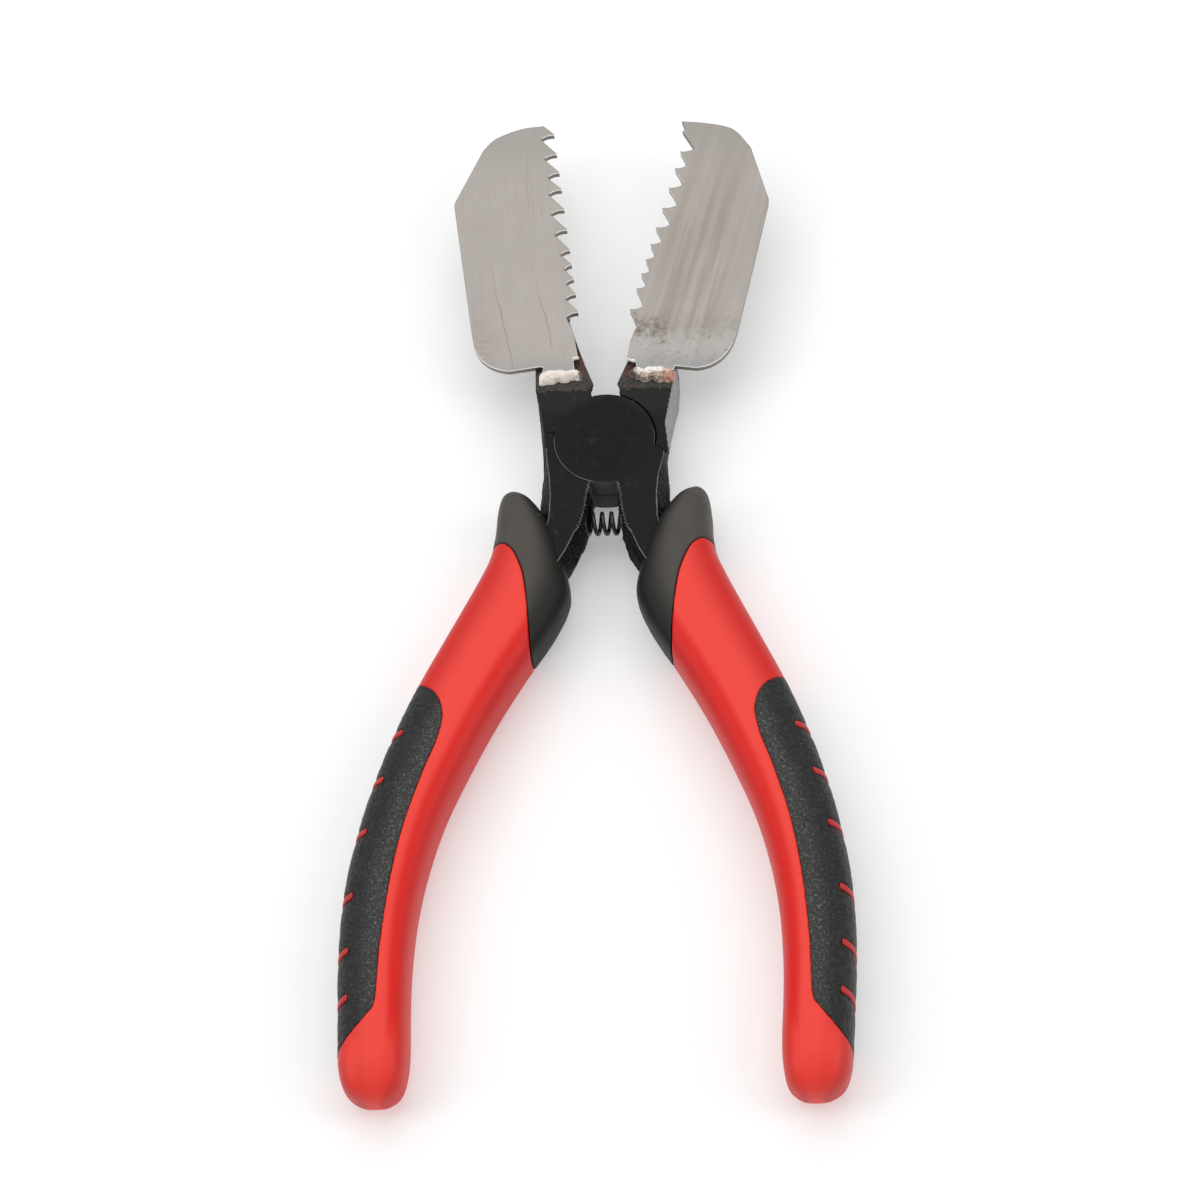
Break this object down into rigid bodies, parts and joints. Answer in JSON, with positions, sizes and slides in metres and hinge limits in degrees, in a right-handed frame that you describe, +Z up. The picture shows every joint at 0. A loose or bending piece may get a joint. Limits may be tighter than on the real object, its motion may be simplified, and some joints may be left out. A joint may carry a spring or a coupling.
{
  "type": "mosaic glass nippers",
  "caption": "Sprung hand nippers with two welded toothed sheet-steel blades on a black lap-jointed plier body and two-colour moulded grips.",
  "frame": {"origin": "under the middle of the tool, on the surface that its grips lie on", "axes": "+Y along the tool towards the blades, +X to the right-hand grip, +Z up along the pivot axis"},
  "size_m": [0.1006, 0.2202, 0.015],
  "materials": {
    "black_oxide": "ground flat and blackened, satin",
    "blade_steel": "satin, polished lengthwise",
    "weld_metal": "bright weld bead with heat tint",
    "spring_steel": "blackened spring wire",
    "red_core": "satin red moulding",
    "black_guard": "smooth satin elastomer",
    "black_pad": "leather-grained elastomer"
  },
  "bodies": {
    "upper_half": {"upper_lap_forging": "black_oxide", "pivot_rivet": "black_oxide", "return_spring": "spring_steel", "left_toothed_blade": "blade_steel", "left_tab_weld": "weld_metal", "left_root_weld": "weld_metal", "right_grip_core": "red_core", "right_front_guard": "black_guard", "right_palm_pad": "black_pad"},
    "lower_half": {"lower_lap_forging": "black_oxide", "right_toothed_blade": "blade_steel", "right_tab_weld": "weld_metal", "right_root_weld": "weld_metal", "left_grip_core": "red_core", "left_front_guard": "black_guard", "left_palm_pad": "black_pad"}
  },
  "joints": [
    {"name": "pivot", "type": "hinge", "parent": "upper_half", "child": "lower_half", "pos_m": [0, 0.0327, 0.0075], "axis": [0, 0, 1], "range_deg": [0, 17], "stiffness_Nm_per_rad": 0.45, "springref_deg": -5.16, "deforming": ["return_spring"]}
  ]
}
